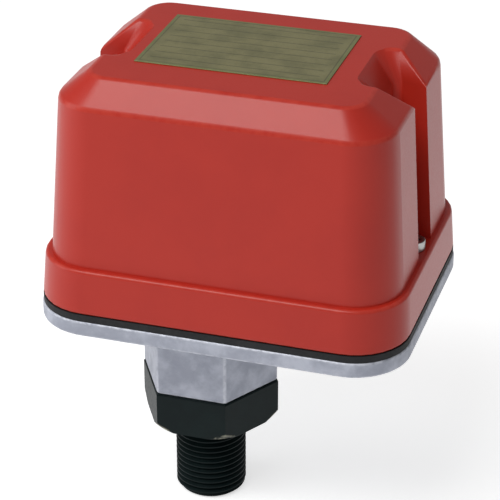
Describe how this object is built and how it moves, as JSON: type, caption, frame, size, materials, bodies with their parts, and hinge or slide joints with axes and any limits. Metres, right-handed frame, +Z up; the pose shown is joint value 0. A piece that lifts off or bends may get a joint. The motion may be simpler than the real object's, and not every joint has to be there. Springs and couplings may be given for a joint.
{
  "type": "pressure switch",
  "caption": "Adjustable pressure switch: red bevelled cover on a cast base with a hexagonal boss, black fitting and male pipe thread; snap-action switches and range spring inside.",
  "frame": {"origin": "on the pipe thread's axis, at the face where the thread meets the port fitting's hexagon", "axes": "+Z up, away from the pipe, along the thread's axis; +X along the case's length, towards the conduit opening; +Y towards the back"},
  "size_m": [0.1077, 0.0854, 0.1451],
  "materials": {
    "casting": "as-cast, mottled, light grey",
    "nylon": "black moulded, slightly glossy",
    "rubber": "matt black",
    "brass": "machined",
    "steel": "plated sheet and bar",
    "spring_steel": "bright drawn wire and strip",
    "wheel": "turned",
    "zinc_sheet": "zinc plated sheet",
    "screw_steel": "plated",
    "scale": "printed with plain tick marks",
    "phenolic": "dark brown moulded",
    "button": "moulded, ivory",
    "ground_green": "green dyed plating",
    "cover_red": "red enamel, satin",
    "label": "thin foil, gold-olive, satin"
  },
  "bodies": {
    "base": {"base_casting": "casting", "port_fitting": "nylon", "diaphragm": "rubber", "spring_bridge": "steel", "mounting_frame": "zinc_sheet", "frame_screws": "screw_steel", "bridge_screws": "screw_steel", "setting_scale": "scale", "front_switch_case": "phenolic", "rear_switch_case": "phenolic", "lever_pins": "screw_steel", "switch_screws": "screw_steel", "switch_nuts": "screw_steel", "terminal_clamps": "brass", "terminal_screws": "screw_steel", "ground_clamp": "brass", "ground_screw": "ground_green", "cover_gasket": "rubber"},
    "cover": {"cover": "cover_red", "nameplate": "label", "cover_screws": "screw_steel"},
    "plunger": {"piston": "brass", "plunger_stem": "steel", "plunger_collar": "brass", "lifter_plate": "steel", "lifter_nut": "screw_steel", "range_spring": "spring_steel"},
    "spring_seat": {"spring_seat": "steel"},
    "adjuster": {"adjustment_wheel": "wheel", "adjusting_screw": "brass"},
    "front_lever": {"front_lever": "spring_steel"},
    "rear_lever": {"rear_lever": "spring_steel"},
    "front_button": {"front_button": "button"},
    "rear_button": {"rear_button": "button"}
  },
  "joints": [
    {"name": "cover_lift", "type": "slide", "parent": "base", "child": "cover", "axis": [0, 0, 1], "range_m": [0, 0.075]},
    {"name": "plunger_travel", "type": "slide", "parent": "base", "child": "plunger", "axis": [0, 0, 1], "range_m": [0, 0.0012], "stiffness_N_per_m": 2000, "springref_m": -0.005},
    {"name": "seat_travel", "type": "slide", "parent": "base", "child": "spring_seat", "axis": [0, 0, 1], "range_m": [-0.006, 0], "deforming": ["range_spring"]},
    {"name": "wheel_turn", "type": "hinge", "parent": "spring_seat", "child": "adjuster", "pos_m": [0, 0, 0.0757], "axis": [0, 0, 1], "range_deg": [-1440, 0]},
    {"name": "front_lever_pivot", "type": "hinge", "parent": "base", "child": "front_lever", "pos_m": [0.032, -0.014, 0.0877], "axis": [0, 1, 0], "range_deg": [0, 2.2]},
    {"name": "rear_lever_pivot", "type": "hinge", "parent": "base", "child": "rear_lever", "pos_m": [0.032, 0.014, 0.0877], "axis": [0, 1, 0], "range_deg": [0, 2.2]},
    {"name": "front_button_travel", "type": "slide", "parent": "base", "child": "front_button", "axis": [0, 0, 1], "range_m": [0, 0.001]},
    {"name": "rear_button_travel", "type": "slide", "parent": "base", "child": "rear_button", "axis": [0, 0, 1], "range_m": [0, 0.001]}
  ],
  "couplings": [
    {"joint": "wheel_turn", "follows": "seat_travel", "rad_per_m": 4188},
    {"joint": "front_lever_pivot", "follows": "plunger_travel", "rad_per_m": 31.25},
    {"joint": "rear_lever_pivot", "follows": "plunger_travel", "rad_per_m": 31.25},
    {"joint": "front_button_travel", "follows": "plunger_travel", "ratio": 0.75},
    {"joint": "rear_button_travel", "follows": "plunger_travel", "ratio": 0.75}
  ]
}
